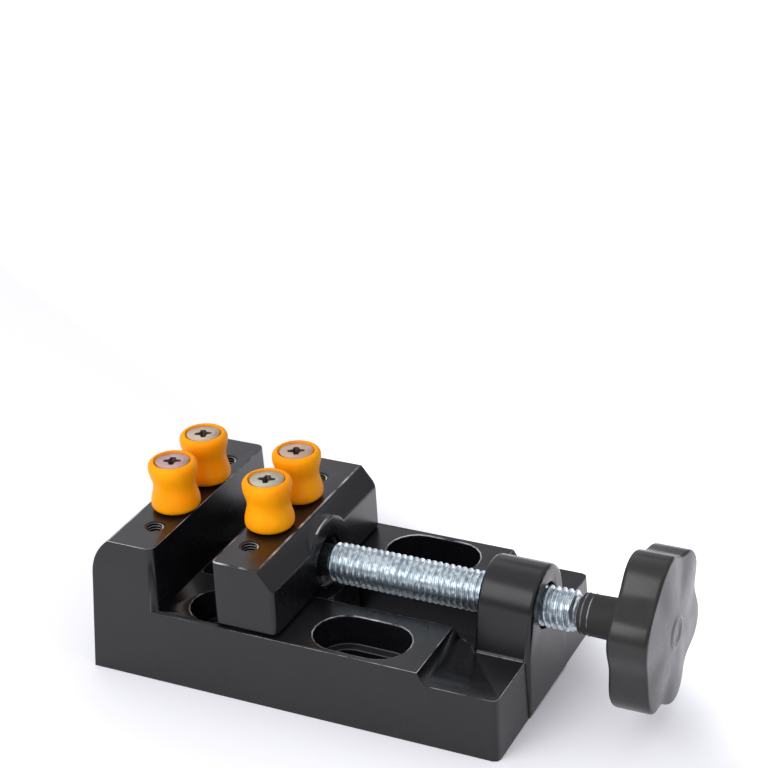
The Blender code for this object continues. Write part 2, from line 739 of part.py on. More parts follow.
def countersink_from_below(low, top):
    """A cutter through a plate for a countersunk screw whose head is on the lower face."""
    head = FASTENER_HEAD_DIAMETER / 2 + SEAT_GAP
    profile = [
        (low - OVERCUT, 0),
        (low - OVERCUT, head),
        (low + FASTENER_HEAD_RIM, head),
        (low + FASTENER_HEAD_HEIGHT, FASTENER_HOLE_RADIUS),
        (top + OVERCUT, FASTENER_HOLE_RADIUS),
        (top + OVERCUT, 0),
    ]
    return turned(profile, SMALL_STEPS, along="Z")


def countersunk_screw(name, material, parent, x, y, head_face, direction, length):
    """A countersunk screw whose head face points along +Z or -Z."""
    head = FASTENER_HEAD_DIAMETER / 2
    shank = FASTENER_DIAMETER / 2
    tip = head_face - direction * length
    profile = [
        (head_face, 0),
        (head_face, head),
        (head_face - direction * FASTENER_HEAD_RIM, head),
        (head_face - direction * FASTENER_HEAD_HEIGHT, shank),
        (tip + direction * shank / 4, shank),
        (tip, shank * 3 / 4),
        (tip, 0),
    ]
    screw = new_object(name, shifted(turned(profile, SMALL_STEPS, along="Z"), x, y))
    return finish(screw, material, parent, (x, y, head_face))


def make_retaining_screw(material, parent):
    """A set screw whose point stands in the groove of the lead screw."""
    x = SLIDING_BACK_X - GROOVE_DEPTH_IN_JAW
    tip = SCREW_HEIGHT - GROOVE_DIAMETER / 2 - SEAT_GAP
    body = FASTENER_DIAMETER / 2
    point = RETAINING_POINT_DIAMETER / 2
    low = KEEPER_CHANNEL_DEPTH + RETAINING_SCREW_SUNK
    profile = [
        (low, 0),
        (low, body),
        (tip - RETAINING_POINT_LENGTH, body),
        (tip - RETAINING_POINT_LENGTH, point),
        (tip, point),
        (tip, 0),
    ]
    screw = new_object("retaining_screw", shifted(turned(profile, SMALL_STEPS, along="Z"), x))
    return finish(screw, material, parent, (x, 0, tip))


def peg_profile():
    """Outer side of a peg, two rolls with a waist between them, from its top down."""
    mean = (PEG_DIAMETER + PEG_WAIST_DIAMETER) / 4
    swing = (PEG_DIAMETER - PEG_WAIST_DIAMETER) / 4
    wave = PEG_HEIGHT - 2 * PEG_ROLL_HEIGHT
    points = []
    for step in range(PEG_SIDE_STEPS + 1):
        share = (1 - math.cos(math.pi * step / PEG_SIDE_STEPS)) / 2
        height = PEG_HEIGHT * (1 - share)
        between_rolls = min(max(height - PEG_ROLL_HEIGHT, 0), wave)
        radius = mean + swing * math.cos(math.tau * between_rolls / wave)
        from_end = min(height, PEG_HEIGHT - height)
        if from_end < PEG_EDGE_ROUND:
            radius -= PEG_EDGE_ROUND - math.sqrt(PEG_EDGE_ROUND ** 2 - (PEG_EDGE_ROUND - from_end) ** 2)
        points.append((PEG_BOTTOM + height, radius))
    return points


def make_peg(name, material, parent, x, y):
    head_seat = FASTENER_HEAD_DIAMETER / 2 + SEAT_GAP
    profile = peg_profile()
    profile += [
        (PEG_BOTTOM, FASTENER_HOLE_RADIUS),
        (PEG_SCREW_FACE - FASTENER_HEAD_HEIGHT, FASTENER_HOLE_RADIUS),
        (PEG_SCREW_FACE - FASTENER_HEAD_RIM, head_seat),
    ]
    peg = new_object(name, shifted(turned(profile, PEG_STEPS, along="Z", closed=True), x, y))
    return finish(peg, material, parent, (x, y, PEG_BOTTOM))


def make_pegs(peg_material, screw_material, side, x, parent):
    for place, y in PEG_OFFSETS.items():
        make_peg(f"{side}_peg_{place}", peg_material, parent, x, y)
        name = f"{side}_peg_screw_{place}"
        countersunk_screw(name, screw_material, parent, x, y, PEG_SCREW_FACE, 1, PEG_SCREW_LENGTH)


def main():
    clear_scene()
    casting = make_material("black_anodised_casting", 40, 40, 44, 0.3, 0.4)
    zinc = make_material("bright_zinc_steel", 205, 214, 220, 0.28, 1.0)
    plastic = make_material("black_moulded_plastic", 42, 42, 40, 0.45, 0.0)
    orange = make_material("orange_moulded_rubber", 255, 158, 16, 0.45, 0.0)
    passivated = make_material("passivated_zinc_screws", 200, 184, 168, 0.3, 1.0)

    carriage = empty_at("jaw_carriage", SLIDING_FACE_X, 0, SCREW_HEIGHT)
    spindle = empty_at("spindle_axis", THREAD_START_X, 0, SCREW_HEIGHT, carriage)
    axis_point = (THREAD_START_X, 0, SCREW_HEIGHT)

    make_base(casting)
    make_moving_jaw(casting, carriage)
    make_lead_screw(zinc, spindle, axis_point)
    make_knob(plastic, spindle, axis_point)
    make_keeper_plate(zinc, carriage)
    keeper_face = KEEPER_CHANNEL_DEPTH - SLIDE_GAP - KEEPER_THICKNESS
    for place, x in keeper_screw_places().items():
        name = f"keeper_screw_{place}"
        countersunk_screw(name, zinc, carriage, x, 0, keeper_face, -1, KEEPER_SCREW_LENGTH)
    make_retaining_screw(zinc, carriage)
    make_pegs(orange, passivated, "fixed", JAW_FACE_X - JAW_HOLE_FROM_FACE, None)
    make_pegs(orange, passivated, "moving", SLIDING_FACE_X + JAW_HOLE_FROM_FACE, carriage)


main()
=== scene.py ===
"""Looks of the small drill press vise: its finishes, the fine threads, the screws' cross
recesses and the smooth moulded pegs and knob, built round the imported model.
"""

import math

import bmesh
import bpy
from mathutils import Matrix, Vector


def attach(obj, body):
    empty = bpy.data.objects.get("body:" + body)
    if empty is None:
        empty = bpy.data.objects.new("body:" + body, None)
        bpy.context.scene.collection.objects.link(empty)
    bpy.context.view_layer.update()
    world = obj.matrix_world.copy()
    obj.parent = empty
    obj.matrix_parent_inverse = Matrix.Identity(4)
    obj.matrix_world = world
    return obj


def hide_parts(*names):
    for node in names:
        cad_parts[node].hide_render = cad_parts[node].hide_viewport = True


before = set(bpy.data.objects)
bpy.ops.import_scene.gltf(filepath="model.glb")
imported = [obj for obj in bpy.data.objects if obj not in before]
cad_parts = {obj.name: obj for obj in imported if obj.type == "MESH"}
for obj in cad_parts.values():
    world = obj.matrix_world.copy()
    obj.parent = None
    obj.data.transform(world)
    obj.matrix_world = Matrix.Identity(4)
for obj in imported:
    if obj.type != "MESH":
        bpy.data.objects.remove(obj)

MM = 0.001
UP = Vector((0, 0, 1))
ALONG = Vector((1, 0, 0))

# Sizes of the real vise that the pieces here share
SCREW_HEIGHT = 23.0 * MM
AXIS_POINT = Vector((0, 0, SCREW_HEIGHT))
SLIDING_BACK_X = 39.6 * MM
THREAD_START_X = 40.8 * MM
THREAD_END_X = 101.5 * MM
THREAD_RADIUS = 4.75 * MM
THREAD_DEPTH = 0.84 * MM
THREAD_PITCH = 1.5 * MM
THREAD_END_SLOPE = 0.9
THREAD_STEPS = 40
SHANK_RADIUS = 3.8 * MM
SHANK_DEPTH_IN_JAW = 9.6 * MM
GROOVE_DEPTH_IN_JAW = 5.6 * MM
GROOVE_WIDTH = 3.6 * MM
GROOVE_RADIUS = 2.9 * MM
TAIL_RADIUS = 3.5 * MM
TAIL_LENGTH = 15.5 * MM
SMALL_CHAMFER = 0.4 * MM
SEAT_GAP = 0.3 * MM

NECK_RADIUS = 4.6 * MM
NECK_DRAFT = 0.025
NECK_LENGTH = 11.6 * MM
NECK_LINE_PLACES = (1.1 * MM, 2.6 * MM)
NECK_LINE_HEIGHT = 0.12 * MM
KNOB_LOBES = 6
KNOB_STEPS = KNOB_LOBES * 32
KNOB_TURN = math.radians(7.6)
KNOB_RADIUS = 18.75 * MM
KNOB_NOTCH = 2.35 * MM
KNOB_NOTCH_NARROWNESS = 1.2
KNOB_THICKNESS = 9.9 * MM
KNOB_EDGE_ROUND = 0.8 * MM
KNOB_BACK_ROUND = 1.2 * MM
KNOB_DOME = 0.6 * MM
KNOB_VALLEY = 0.45 * MM
KNOB_MARK_RADII = (3.3 * MM, 2.5 * MM)
KNOB_MARK_HEIGHT = 0.12 * MM
KNOB_DULL_DEPTH = 0.4 * MM
KNOB_DULLNESS = 0.35
NECK_START_X = THREAD_END_X + SEAT_GAP
KNOB_BACK_X = NECK_START_X + NECK_LENGTH
KNOB_FRONT_X = KNOB_BACK_X + KNOB_THICKNESS

PEG_RADIUS = 5.75 * MM
PEG_WAIST_RADIUS = 4.95 * MM
PEG_HEIGHT = 12.0 * MM
PEG_ROLL_HEIGHT = 1.6 * MM
PEG_EDGE_ROUND = 1.3 * MM
PEG_STEPS = 72
PEG_SIDE_STEPS = 36
PEG_SIDE_INSIDE = 0.9 * PEG_WAIST_RADIUS
GATE_PLACE = 2.4 * MM
GATE_HEIGHT = 0.22 * MM
GATE_WIDTH = 0.75 * MM
JAW_TOP = 34.0 * MM
PEG_BOTTOM = JAW_TOP + SEAT_GAP
PEG_TOP = PEG_BOTTOM + PEG_HEIGHT

HEAD_RADIUS = 3.95 * MM
HEAD_HEIGHT = 2.1 * MM
HEAD_RIM = 0.35 * MM
HEAD_EDGE = 0.12 * MM
HEAD_SINK = 0.2 * MM
FASTENER_RADIUS = 2.0 * MM
FASTENER_PITCH = 0.7 * MM
FASTENER_STEPS = 64
PEG_SCREW_LENGTH = 20.0 * MM
KEEPER_SCREW_LENGTH = 9.0 * MM
KEEPER_SCREW_FACE = 2.7 * MM
KEEPER_SCREW_PLACES = {"front": 27.9 * MM, "rear": 39.9 * MM}
KEEPER_SCREW_TURN = math.radians(23)

FIXED_HOLES_X = 4.1 * MM
MOVING_HOLES_X = 28.9 * MM
INNER_HOLE_OFFSET = 7.2 * MM
OUTER_HOLE_OFFSET = 17.0 * MM
TAPPED_DEPTH = 10.0 * MM
TAPPED_STEPS = 32
TAPPED_OUTER_RADIUS = 2.28 * MM
TAPPED_ROOT_RADIUS = 2.22 * MM
TAPPED_CREST_RADIUS = 1.74 * MM
TAPPED_BELOW_MOUTH = 0.22 * MM
TAPPED_CREST_BAND = 0.15 * MM

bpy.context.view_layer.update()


# Camera

CAMERA_PLACE = Vector((240.8, -365.36, 272.52)) * MM
CAMERA_AZIMUTH = math.radians(26.94)
CAMERA_ELEVATION = math.radians(25.22)
CAMERA_ROLL = math.radians(-3.14)
FOCAL_LENGTH_PIXELS = 2092.14
IMAGE_SIZE_PIXELS = 768
PRINCIPAL_POINT = (377.69, 348.91)
SENSOR_WIDTH_MM = 36.0


def add_camera():
    """The camera stands where the photograph was taken from."""
    data = bpy.data.cameras.new("camera")
    camera = bpy.data.objects.new("camera", data)
    bpy.context.scene.collection.objects.link(camera)
    back = Vector((
        math.sin(CAMERA_AZIMUTH) * math.cos(CAMERA_ELEVATION),
        -math.cos(CAMERA_AZIMUTH) * math.cos(CAMERA_ELEVATION),
        math.sin(CAMERA_ELEVATION),
    ))
    level = Vector((math.cos(CAMERA_AZIMUTH), math.sin(CAMERA_AZIMUTH), 0))
    upright = back.cross(level)
    right = level * math.cos(CAMERA_ROLL) + upright * math.sin(CAMERA_ROLL)
    up = upright * math.cos(CAMERA_ROLL) - level * math.sin(CAMERA_ROLL)
    turn = Matrix((right, up, back)).transposed()
    camera.matrix_world = Matrix.Translation(CAMERA_PLACE) @ turn.to_4x4()
    data.sensor_width = SENSOR_WIDTH_MM
    data.lens = FOCAL_LENGTH_PIXELS / IMAGE_SIZE_PIXELS * SENSOR_WIDTH_MM
    data.shift_x = 0.5 - PRINCIPAL_POINT[0] / IMAGE_SIZE_PIXELS
    data.shift_y = PRINCIPAL_POINT[1] / IMAGE_SIZE_PIXELS - 0.5
    data.clip_start = 0.01
    data.clip_end = 20
    bpy.context.scene.camera = camera


# Colours and nodes

def colour(code):
    """A hex sRGB colour as linear red, green, blue and alpha."""
    channels = []
    for start in (1, 3, 5):
        value = int(code[start:start + 2], 16) / 255
        channels.append(value / 12.92 if value <= 0.04045 else ((value + 0.055) / 1.055) ** 2.4)
    return (*channels, 1.0)


def add_node(tree, kind, settings=None, links=None):
    """Add a node, set its properties, inputs and colour stops, and link its inputs."""
    node = tree.nodes.new("ShaderNode" + kind)
    for key, value in (settings or {}).items():
        if isinstance(value, str) and value.startswith("#"):
            value = colour(value)
        if key == "stops":
            elements = node.color_ramp.elements
            while len(elements) < len(value):
                elements.new(0.5)
            for element, (position, code) in zip(elements, value):
                element.position = position
                element.color = colour(code)
        elif isinstance(key, int) or key in node.inputs:
            node.inputs[key].default_value = value
        else:
            setattr(node, key, value)
    for key, socket in (links or {}).items():
        tree.links.new(socket, node.inputs[key])
    return node.outputs


def new_material(name, values):
    """A material with its shader's constant values, and its place counted in millimetres,
    so that a pattern's scale is 1 over its size in millimetres."""
    material = bpy.data.materials.new(name)
    material.use_nodes = True
    tree = material.node_tree
    shader = tree.nodes["Principled BSDF"]
    for key, value in values.items():
        shader.inputs[key].default_value = value
    coordinates = add_node(tree, "TexCoord")
    place = add_node(
        tree, "Mapping", {"Scale": (1 / MM, 1 / MM, 1 / MM)}, {"Vector": coordinates["Object"]},
    )
    return material, tree, shader, place["Vector"]


def finish_shader(tree, shader, links):
    """Link a material's patterns to its shader."""
    for key, socket in links.items():
        tree.links.new(socket, shader.inputs[key])


# Materials

def black_anodised_casting():
    """Die-cast aluminium, blasted and black anodised: a deep black whose satin skin
    mirrors the white floor and the pegs, with a faint cloudiness from the casting. The
    dyed oxide shines as glass does, not as bare metal. The blasted grain is finer than
    0.35 mm on the real one, and is drawn that coarse to show."""
    material, tree, shader, place = new_material("black_anodised_aluminium", {
        "Metallic": 0.0, "IOR": 1.5,
    })
    mottle = add_node(tree, "TexNoise", {"Scale": 1 / 14, "Detail": 3}, {"Vector": place})
    grain = add_node(tree, "TexNoise", {"Scale": 1 / 0.35, "Detail": 1}, {"Vector": place})
    shade = add_node(
        tree, "ValToRGB", {"stops": ((0.35, "#0D0D10"), (0.65, "#121216"))}, {"Fac": mottle["Fac"]},
    )
    gloss = add_node(
        tree, "MapRange", {"From Min": 0.3, "From Max": 0.7, "To Min": 0.24, "To Max": 0.31},
        {"Value": mottle["Fac"]},
    )
    bump = add_node(tree, "Bump", {"Distance": 0.004 * MM}, {"Height": grain["Fac"]})
    finish_shader(tree, shader, {
        "Base Color": shade["Color"], "Roughness": gloss["Result"], "Normal": bump["Normal"],
    })
    return material


def painted_edge_highlight():
    """The same casting with a painted highlight on its upper edges: a fine light line of partly
    metallic grey in patches, standing for the light that those edges catch."""
    material, tree, shader, place = new_material("aluminium_edge_painted_highlight", {
        "Metallic": 0.6, "Roughness": 0.3,
    })
    patches = add_node(tree, "TexNoise", {"Scale": 1 / 5, "Detail": 4}, {"Vector": place})
    shade = add_node(
        tree, "ValToRGB", {"stops": ((0.38, "#232327"), (0.47, "#7A7A81"), (0.64, "#CBCBD2"))},
        {"Fac": patches["Fac"]},
    )
    finish_shader(tree, shader, {"Base Color": shade["Color"]})
    return material


def bright_zinc_plate():
    """Steel with bright bluish zinc plating: a metal that breaks its highlights on the
    small dents that thread rolling leaves."""
    material, tree, shader, place = new_material("bright_zinc_plated_steel", {"Metallic": 1.0})
    blotch = add_node(tree, "TexNoise", {"Scale": 1 / 1.1, "Detail": 3}, {"Vector": place})
    dents = add_node(tree, "TexNoise", {"Scale": 1 / 0.45, "Detail": 2}, {"Vector": place})
    shade = add_node(
        tree, "ValToRGB", {"stops": ((0.38, "#AFBDC6"), (0.6, "#EAF3F8"))}, {"Fac": blotch["Fac"]},
    )
    gloss = add_node(
        tree, "MapRange", {"From Min": 0.3, "From Max": 0.7, "To Min": 0.36, "To Max": 0.25},
        {"Value": blotch["Fac"]},
    )
    bump = add_node(tree, "Bump", {"Distance": 0.007 * MM}, {"Height": dents["Fac"]})
    finish_shader(tree, shader, {
        "Base Color": shade["Color"], "Roughness": gloss["Result"], "Normal": bump["Normal"],
    })
    return material


def charcoal_moulded_nylon():
    """Injection moulded nylon with a fine spark texture, drawn 0.3 mm coarse to show: a
    deep charcoal, dull on the neck and the back, and satin on the sides and front, which
    carry broad bands of light."""
    material, tree, shader, place = new_material("charcoal_moulded_nylon", {
        "Metallic": 0.0, "IOR": 1.5, "Specular IOR Level": 0.6,
    })
    parts = add_node(tree, "SeparateXYZ", None, {"Vector": place})
    dullness = add_node(
        tree, "MapRange",
        {
            "From Min": (KNOB_BACK_X + KNOB_DULL_DEPTH) / MM,
            "From Max": (KNOB_BACK_X + KNOB_BACK_ROUND) / MM,
            "To Min": KNOB_DULLNESS, "To Max": 0.0,
        },
        {"Value": parts["X"]},
    )
    cloud = add_node(tree, "TexNoise", {"Scale": 1 / 4, "Detail": 3}, {"Vector": place})
    grain = add_node(tree, "TexNoise", {"Scale": 1 / 0.3, "Detail": 2}, {"Vector": place})
    shade = add_node(
        tree, "ValToRGB", {"stops": ((0.35, "#101010"), (0.65, "#181817"))}, {"Fac": cloud["Fac"]},
    )
    gloss = add_node(
        tree, "MapRange", {"From Min": 0.3, "From Max": 0.7, "To Min": 0.25, "To Max": 0.33},
        {"Value": cloud["Fac"]},
    )
    roughness = add_node(
        tree, "Math", {"operation": "ADD"}, {0: gloss["Result"], 1: dullness["Result"]},
    )
    bump = add_node(tree, "Bump", {"Distance": 0.006 * MM}, {"Height": grain["Fac"]})
    finish_shader(tree, shader, {
        "Base Color": shade["Color"], "Roughness": roughness[0], "Normal": bump["Normal"],
    })
    return material


def painted_neck_line_highlight():
    """The two fine moulding lines on the neck, painted pale in patches as the highlights they
    catch.
    """
    material, tree, shader, place = new_material("nylon_line_painted_highlight", {"Roughness": 0.5})
    patches = add_node(tree, "TexNoise", {"Scale": 1 / 4, "Detail": 2}, {"Vector": place})
    shade = add_node(
        tree, "ValToRGB", {"stops": ((0.4, "#2A2A2C"), (0.6, "#B9B9BC"))}, {"Fac": patches["Fac"]},
    )
    finish_shader(tree, shader, {"Base Color": shade["Color"]})
    return material


def orange_moulded_polyurethane():
    """Soft moulded polyurethane: a saturated orange that light enters a little, with a
    dull skin."""
    material, tree, shader, place = new_material("orange_moulded_polyurethane", {
        "Roughness": 0.5, "IOR": 1.45, "Specular IOR Level": 0.2, "Subsurface Weight": 0.25,
        "Subsurface Radius": (1.0, 0.35, 0.05), "Subsurface Scale": 1.2 * MM,
    })
    cloud = add_node(tree, "TexNoise", {"Scale": 1 / 5, "Detail": 2}, {"Vector": place})
    grain = add_node(tree, "TexNoise", {"Scale": 1 / 0.4, "Detail": 1}, {"Vector": place})
    shade = add_node(
        tree, "ValToRGB", {"stops": ((0.35, "#FF9B00"), (0.65, "#FFA600"))}, {"Fac": cloud["Fac"]},
    )
    bump = add_node(tree, "Bump", {"Distance": 0.006 * MM}, {"Height": grain["Fac"]})
    finish_shader(tree, shader, {"Base Color": shade["Color"], "Normal": bump["Normal"]})
    return material


def passivated_zinc(tint, dark, light):
    """Zinc-plated screws under a thin passivation film, whose tint drifts from screw to screw."""
    material, tree, shader, place = new_material(f"passivated_zinc_{tint}", {"Metallic": 1.0})
    drift = add_node(tree, "TexNoise", {"Scale": 1 / 4, "Detail": 2}, {"Vector": place})
    scratch = add_node(tree, "TexNoise", {"Scale": 1 / 0.4, "Detail": 3}, {"Vector": place})
    shade = add_node(
        tree, "ValToRGB", {"stops": ((0.35, dark), (0.65, light))}, {"Fac": drift["Fac"]},
    )
    gloss = add_node(
        tree, "MapRange", {"From Min": 0.3, "From Max": 0.7, "To Min": 0.26, "To Max": 0.38},
        {"Value": scratch["Fac"]},
    )
    bump = add_node(tree, "Bump", {"Distance": 0.008 * MM}, {"Height": scratch["Fac"]})
    finish_shader(tree, shader, {
        "Base Color": shade["Color"], "Roughness": gloss["Result"], "Normal": bump["Normal"],
    })
    return material


def painted_recess_shade():
    """The cross recesses, painted a dark brown as the shade that fills them."""
    material, tree, shader, place = new_material("zinc_recess_painted_shade", {
        "Metallic": 0.5, "Roughness": 0.5,
    })
    film = add_node(tree, "TexNoise", {"Scale": 1 / 0.5, "Detail": 2}, {"Vector": place})
    shade = add_node(
        tree, "ValToRGB", {"stops": ((0.35, "#2B2019"), (0.7, "#5A4738"))}, {"Fac": film["Fac"]},
    )
    finish_shader(tree, shader, {"Base Color": shade["Color"]})
    return material


def bare_crest_and_painted_highlight():
    """Thread crests in the tapped holes, bright metal rubbed by the screws, and made light enough
    to be a painted highlight on each crest.
    """
    material, tree, shader, place = new_material("bare_crest_and_painted_highlight", {
        "Metallic": 0.4, "Roughness": 0.35,
    })
    scratch = add_node(tree, "TexNoise", {"Scale": 1 / 0.3, "Detail": 2}, {"Vector": place})
    shade = add_node(
        tree, "ValToRGB", {"stops": ((0.3, "#D4D6D8"), (0.7, "#F4F5F6"))}, {"Fac": scratch["Fac"]},
    )
    finish_shader(tree, shader, {"Base Color": shade["Color"]})
    return material


# Stage and light

FLOOR_HALF_SIZE = 3.0
FLOOR_GAP = 0.02 * MM
FLOOR_LIFT = 0.1
# The floor glows more behind the vise: a painted pool of light in its reflections
BACK_DIRECTION = Vector((0.5, 0.866, 0))
BACK_LIFT = 0.68
BACK_LIFT_FROM = 55 * MM
BACK_LIFT_TO = 85 * MM
WORLD_SIDE = 0.27
WORLD_TOP = 0.88
WORLD_RISE = (0.05, 0.8)
BACK_PANEL_DIRECTION = Vector((-0.503, 0.718, 0.480))
BACK_PANEL_EDGE = (0.85, 0.97)
BACK_PANEL_LIGHT = 0.48
GAP_DIRECTION = Vector((-0.248, 0.811, 0.530))
GAP_EDGE = (0.978, 0.998)
GAP_DARKNESS = 0.8
KEY_DIRECTION = Vector((-0.37, -0.66, 0.655))
KEY_DISTANCE = 0.8
KEY_SIZE = 0.55
KEY_POWER = 2.1
FILL_DIRECTION = Vector((-0.1, -0.93, 0.36))
FILL_DISTANCE = 0.9
FILL_SIZE = 0.8
FILL_POWER = 3.6


def pale_floor():
    """White paper. To the camera and in reflections it is lifted to a clean white that keeps the
    shadows, and more so behind the vise, a painted glow that the end faces mirror."""
    material, tree, shader, place = new_material("pale_floor", {
        "Roughness": 0.9, "Specular IOR Level": 0.1,
    })
    cloud = add_node(tree, "TexNoise", {"Scale": 1 / 400, "Detail": 1}, {"Vector": place})
    shade = add_node(
        tree, "ValToRGB", {"stops": ((0.3, "#F2F2F6"), (0.7, "#F5F5F9"))}, {"Fac": cloud["Fac"]},
    )
    finish_shader(tree, shader, {"Base Color": shade["Color"]})
    path = add_node(tree, "LightPath")
    seen = add_node(
        tree, "Math", {"operation": "MAXIMUM"},
        {0: path["Is Camera Ray"], 1: path["Is Glossy Ray"]},
    )
    behind = add_node(
        tree, "VectorMath", {"operation": "DOT_PRODUCT", 1: BACK_DIRECTION}, {0: place},
    )
    lift = add_node(
        tree, "MapRange",
        {
            "interpolation_type": "SMOOTHSTEP", "From Min": BACK_LIFT_FROM / MM,
            "From Max": BACK_LIFT_TO / MM, "To Min": FLOOR_LIFT, "To Max": BACK_LIFT,
        },
        {"Value": behind["Value"]},
    )
    strength = add_node(
        tree, "Math", {"operation": "MULTIPLY"}, {0: seen[0], 1: lift["Result"]},
    )
    glow = add_node(tree, "Emission", {"Color": "#F8F8FF"}, {"Strength": strength[0]})
    total = add_node(
        tree, "AddShader", None, {0: shader.outputs["BSDF"], 1: glow["Emission"]},
    )
    tree.links.new(total["Shader"], tree.nodes["Material Output"].inputs["Surface"])
    return material


def add_floor():
    """A wide pale sheet just under the vise."""
    bm = bmesh.new()
    bmesh.ops.create_grid(bm, x_segments=1, y_segments=1, size=FLOOR_HALF_SIZE)
    bmesh.ops.translate(bm, verts=bm.verts, vec=(0, 0, -FLOOR_GAP))
    mesh = bpy.data.meshes.new("floor")
    bm.to_mesh(mesh)
    bm.free()
    floor = bpy.data.objects.new("floor", mesh)
    bpy.context.scene.collection.objects.link(floor)
    mesh.materials.append(pale_floor())


def add_world():
    """A light tent: bright overhead, dim towards the sides and white to the camera, with a
    lit panel behind on the left and a dark gap beside it. An edge's two numbers are the
    cosines, from the middle of a panel, at which it starts and at which it is full."""
    world = bpy.data.worlds.new("studio")
    bpy.context.scene.world = world
    world.use_nodes = True
    tree = world.node_tree
    tree.nodes.clear()
    coordinates = add_node(tree, "TexCoord")
    parts = add_node(tree, "SeparateXYZ", None, {"Vector": coordinates["Generated"]})
    tent = add_node(
        tree, "MapRange",
        {
            "From Min": WORLD_RISE[0], "From Max": WORLD_RISE[1],
            "To Min": WORLD_SIDE, "To Max": WORLD_TOP,
        },
        {"Value": parts["Z"]},
    )
    strength = tent["Result"]
    for direction, (start, end), light in (
        (BACK_PANEL_DIRECTION, BACK_PANEL_EDGE, BACK_PANEL_LIGHT),
        (GAP_DIRECTION, GAP_EDGE, -GAP_DARKNESS),
    ):
        toward = add_node(
            tree, "VectorMath", {"operation": "DOT_PRODUCT", 1: direction.normalized()},
            {0: coordinates["Generated"]},
        )
        panel = add_node(
            tree, "MapRange",
            {
                "interpolation_type": "SMOOTHSTEP", "From Min": start, "From Max": end,
                "To Min": 0.0, "To Max": light,
            },
            {"Value": toward["Value"]},
        )
        strength = add_node(
            tree, "Math", {"operation": "ADD"}, {0: strength, 1: panel["Result"]},
        )[0]
    light = add_node(tree, "Background", {"Color": "#FBFBFF"}, {"Strength": strength})
    white = add_node(tree, "Background", {"Color": "#FBFBFE", "Strength": 1.0})
    path = add_node(tree, "LightPath")
    mixed = add_node(
        tree, "MixShader", None, {"Fac": path["Is Camera Ray"], 1: light[0], 2: white[0]},
    )
    output = tree.nodes.new("ShaderNodeOutputWorld")
    tree.links.new(mixed["Shader"], output.inputs["Surface"])


def add_softbox(name, direction, distance, size, power, in_reflections=True):
    """A square soft light that faces the vise."""
    data = bpy.data.lights.new(name, "AREA")
    data.shape = "SQUARE"
    data.size = size
    data.energy = power
    lamp = bpy.data.objects.new(name, data)
    bpy.context.scene.collection.objects.link(lamp)
    direction = direction.normalized()
    lamp.location = AXIS_POINT + direction * distance
    lamp.rotation_euler = direction.to_track_quat("Z", "Y").to_euler()
    lamp.visible_glossy = in_reflections


# Mesh helpers

MERGE_DISTANCE = 0.001 * MM
THREAD_MERGE_DISTANCE = 0.005 * MM
RIM_TOLERANCE = 0.01 * MM


def to_piece(name, bm, material, body, nodes=(), smooth_below=32):
    """Make a finished mesh an object that rides on a body and stands for CAD nodes."""
    mesh = bpy.data.meshes.new(name)
    bm.to_mesh(mesh)
    bm.free()
    piece = bpy.data.objects.new(name, mesh)
    bpy.context.scene.collection.objects.link(piece)
    mesh.materials.append(material)
    mesh.shade_smooth()
    mesh.set_sharp_from_angle(angle=math.radians(smooth_below))
    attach(piece, body)
    if nodes:
        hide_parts(*nodes)
    return piece


def merged(bm, distance=MERGE_DISTANCE):
    bmesh.ops.remove_doubles(bm, verts=bm.verts, dist=distance)
    return bm


def outward(bm):
    bmesh.ops.recalc_face_normals(bm, faces=bm.faces)
    return bm


def rim_of(bm):
    return [edge for edge in bm.edges if edge.is_boundary]


def smooth_step(value):
    """A smooth rise from 0 to 1."""
    value = min(max(value, 0), 1)
    return value * value * (3 - 2 * value)


def corner_angles(steps):
    """The angles of a quarter turn, for a rounded edge."""
    return [math.pi / 2 * step / steps for step in range(steps + 1)]


def across_to(axis):
    """A direction square to an axis, from which angles round it are counted."""
    return UP if abs(axis.dot(UP)) < 0.5 else ALONG


def spun(profile, steps, axis, centre):
    """Spin (along the axis, radius) points all the way round."""
    bm = bmesh.new()
    across = across_to(axis)
    verts = [bm.verts.new(centre + axis * along + across * radius) for along, radius in profile]
    edges = [bm.edges.new(pair) for pair in zip(verts, verts[1:])]
    bmesh.ops.spin(
        bm, geom=verts + edges, cent=centre, axis=axis, angle=math.tau,
        steps=steps, use_merge=True, use_duplicate=False,
    )
    return outward(merged(bm))


def next_ring(bm, edges, axis, centre, place):
    """Extrude a rim and move each new vertex to the (along, radius) that its angle gives."""
    first = across_to(axis)
    second = axis.cross(first)
    made = bmesh.ops.extrude_edge_only(bm, edges=edges)["geom"]
    for vert in [item for item in made if isinstance(item, bmesh.types.BMVert)]:
        off = vert.co - centre
        angle = math.atan2(off.dot(second), off.dot(first))
        along, radius = place(angle)
        outwards = first * math.cos(angle) + second * math.sin(angle)
        vert.co = centre + axis * along + outwards * radius
    return [item for item in made if isinstance(item, bmesh.types.BMEdge) and item.is_boundary]


def carry_rim(bm, edges, axis, centre, places):
    """Carry a rim through a list of round (along, radius) places."""
    for place in places:
        edges = next_ring(bm, edges, axis, centre, lambda angle: place)
    return edges


def cad_copy(node):
    """A merged copy of a CAD node's loose triangles."""
    bm = bmesh.new()
    bm.from_mesh(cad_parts[node].data)
    return merged(bm)


def weigh_normals(piece):
    """Keep large flat faces flat to the eye, with the turn of the light on the edges."""
    modifier = piece.modifiers.new("weighted", "WEIGHTED_NORMAL")
    modifier.mode = "FACE_AREA"
    modifier.weight = 80
    modifier.keep_sharp = True


